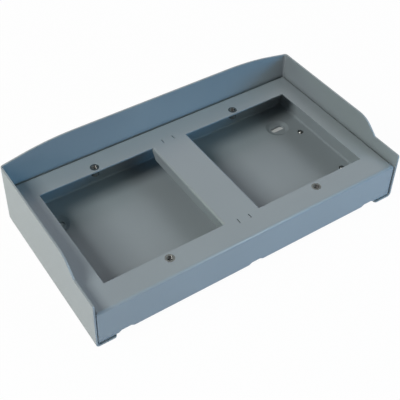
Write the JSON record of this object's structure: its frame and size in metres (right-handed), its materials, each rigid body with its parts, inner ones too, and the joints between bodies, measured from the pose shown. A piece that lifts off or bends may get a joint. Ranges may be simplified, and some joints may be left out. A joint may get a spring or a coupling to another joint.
{
  "type": "intercom back box",
  "caption": "Folded sheet-metal wall box for door intercom modules: square windows in a flat face with a bar between them, inside a rain hood with an arched top and stepped sides.",
  "frame": {"origin": "middle of the four wall slots, on the wall plane that the box lies or hangs against", "axes": "+X to the right along the box, +Y up the wall towards the hood's arched top, +Z out of the wall"},
  "size_m": [0.245, 0.1302, 0.0567],
  "materials": {
    "paint": "satin powder coat",
    "plated_steel": "plated"
  },
  "bodies": {
    "root": {"rain_hood": "paint", "front_cover": "paint", "back_tray": "paint", "module_nuts": "plated_steel", "hood_rivets": "plated_steel"}
  },
  "joints": []
}
